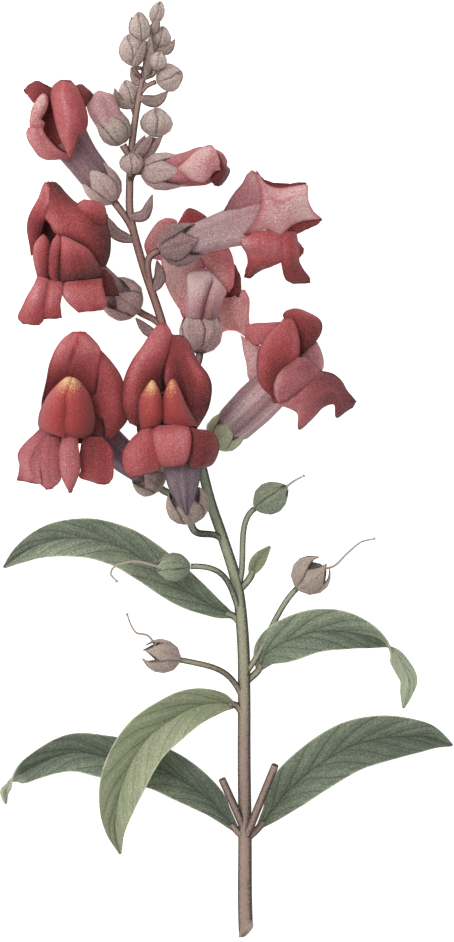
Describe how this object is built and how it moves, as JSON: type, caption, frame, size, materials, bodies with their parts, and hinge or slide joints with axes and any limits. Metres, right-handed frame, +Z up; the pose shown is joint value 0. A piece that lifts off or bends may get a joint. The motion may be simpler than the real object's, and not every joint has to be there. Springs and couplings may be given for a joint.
{
  "type": "cut snapdragon stem",
  "caption": "Cut snapdragon stem lying down, with two-lipped crimson flowers, a spike of buds, seed capsules and long pointed leaves.",
  "frame": {"origin": "on the table, under the middle of the whole spray's box", "axes": "+Y along the stem from its cut end to the tip of its buds, +Z up from the table on which it lies, +X to the right seen from above"},
  "size_m": [0.1136, 0.2346, 0.044],
  "materials": {
    "stem": "soft green stem, browner towards the cut end",
    "calyx": "downy mauve grey sepals",
    "calyx_green": "downy pale green sepals",
    "petal": "velvety crimson petals with a pale mauve tube and yellow palate",
    "bud": "downy grey buds",
    "capsule": "green seed capsule",
    "husk": "dry brown husk",
    "leaf": "matt dark green blade",
    "leaf_pale": "matt yellowish green blade"
  },
  "bodies": {
    "root": {"stem": "stem", "calyx_1": "calyx", "calyx_2": "calyx", "calyx_3": "calyx", "calyx_4": "calyx", "calyx_5": "calyx", "calyx_6": "calyx", "calyx_7": "calyx_green", "calyx_8": "calyx", "calyx_9": "calyx", "corolla_1": "petal", "corolla_2": "petal", "corolla_3": "petal", "corolla_4": "petal", "corolla_5": "petal", "corolla_6": "petal", "corolla_7": "petal", "corolla_8": "petal", "corolla_9": "petal", "bud_1": "bud", "bud_2": "bud", "bud_3": "bud", "bud_4": "bud", "bud_5": "bud", "bud_6": "bud", "bud_7": "bud", "bud_8": "bud", "bud_9": "bud", "capsule_1": "capsule", "capsule_2": "capsule", "capsule_3": "husk", "capsule_4": "husk", "leaf_upper_left": "leaf", "leaf_upper_right": "leaf", "leaf_low_left": "leaf", "leaf_low_right": "leaf", "leaf_pale": "leaf_pale", "leaf_small": "leaf_pale"}
  },
  "joints": []
}
